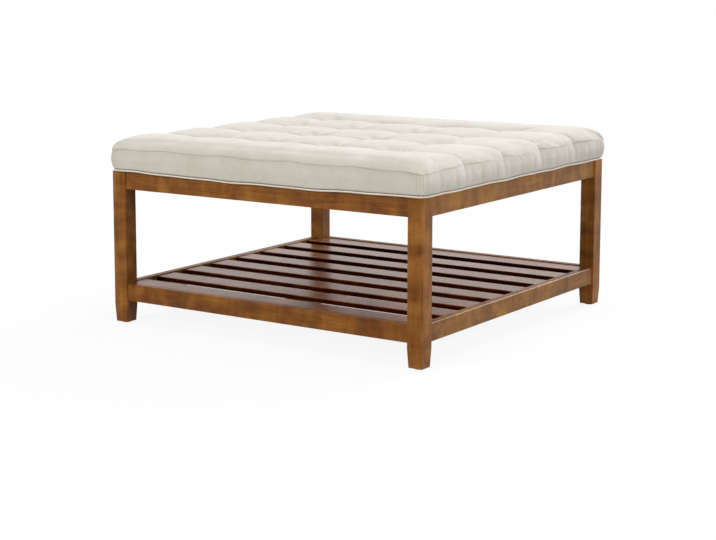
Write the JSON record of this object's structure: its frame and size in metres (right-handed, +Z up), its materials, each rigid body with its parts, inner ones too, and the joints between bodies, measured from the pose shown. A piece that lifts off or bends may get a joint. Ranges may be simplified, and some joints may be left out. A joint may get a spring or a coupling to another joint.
{
  "type": "ottoman coffee table",
  "caption": "Square ottoman coffee table: tufted upholstered cushion top on an open wooden frame with tapered feet and a slatted lower shelf.",
  "frame": {"origin": "middle of the table's footprint, on the floor under the foot glides", "axes": "+Z up; +X along the front rail and the slats, to the right seen from the front; the front faces -Y"},
  "size_m": [0.9138, 0.9138, 0.4699],
  "materials": {
    "stained_wood": "satin brown stain",
    "plain_wood": "sawn and stained thinly",
    "plywood": "bare",
    "linen_cover": "oatmeal linen weave",
    "foam": "open-cell foam",
    "black_cloth": "non-woven",
    "tie_tape": "woven tape",
    "dark_plastic": "moulded",
    "zinc_steel": "zinc plated"
  },
  "bodies": {
    "root": {"cushion_board": "plywood", "cushion_bolt_washers": "zinc_steel", "cushion_bolts": "zinc_steel", "cushion_boxing_back": "linen_cover", "cushion_boxing_front": "linen_cover", "cushion_boxing_left": "linen_cover", "cushion_boxing_right": "linen_cover", "cushion_foam": "foam", "cushion_piping": "linen_cover", "cushion_top_panel": "linen_cover", "dust_cover": "black_cloth", "foot_glide_back_left": "dark_plastic", "foot_glide_back_right": "dark_plastic", "foot_glide_front_left": "dark_plastic", "foot_glide_front_right": "dark_plastic", "frame_bolt_washers": "zinc_steel", "frame_bolts": "zinc_steel", "leg_back_left": "stained_wood", "leg_back_right": "stained_wood", "leg_front_left": "stained_wood", "leg_front_right": "stained_wood", "lower_corner_block_back_left": "plain_wood", "lower_corner_block_back_right": "plain_wood", "lower_corner_block_front_left": "plain_wood", "lower_corner_block_front_right": "plain_wood", "lower_rail_back": "stained_wood", "lower_rail_front": "stained_wood", "lower_rail_left": "stained_wood", "lower_rail_right": "stained_wood", "rail_dowels": "plain_wood", "shelf_centre_batten": "plain_wood", "shelf_cleat_left": "plain_wood", "shelf_cleat_right": "plain_wood", "slat_1": "stained_wood", "slat_2": "stained_wood", "slat_3": "stained_wood", "slat_4": "stained_wood", "slat_5": "stained_wood", "slat_6": "stained_wood", "slat_7": "stained_wood", "slat_8": "stained_wood", "slat_screws": "zinc_steel", "tee_nuts": "zinc_steel", "threaded_inserts": "zinc_steel", "tuft_ties": "tie_tape", "upper_corner_block_back_left": "plain_wood", "upper_corner_block_back_right": "plain_wood", "upper_corner_block_front_left": "plain_wood", "upper_corner_block_front_right": "plain_wood", "upper_rail_back": "stained_wood", "upper_rail_front": "stained_wood", "upper_rail_left": "stained_wood", "upper_rail_right": "stained_wood"}
  },
  "joints": []
}
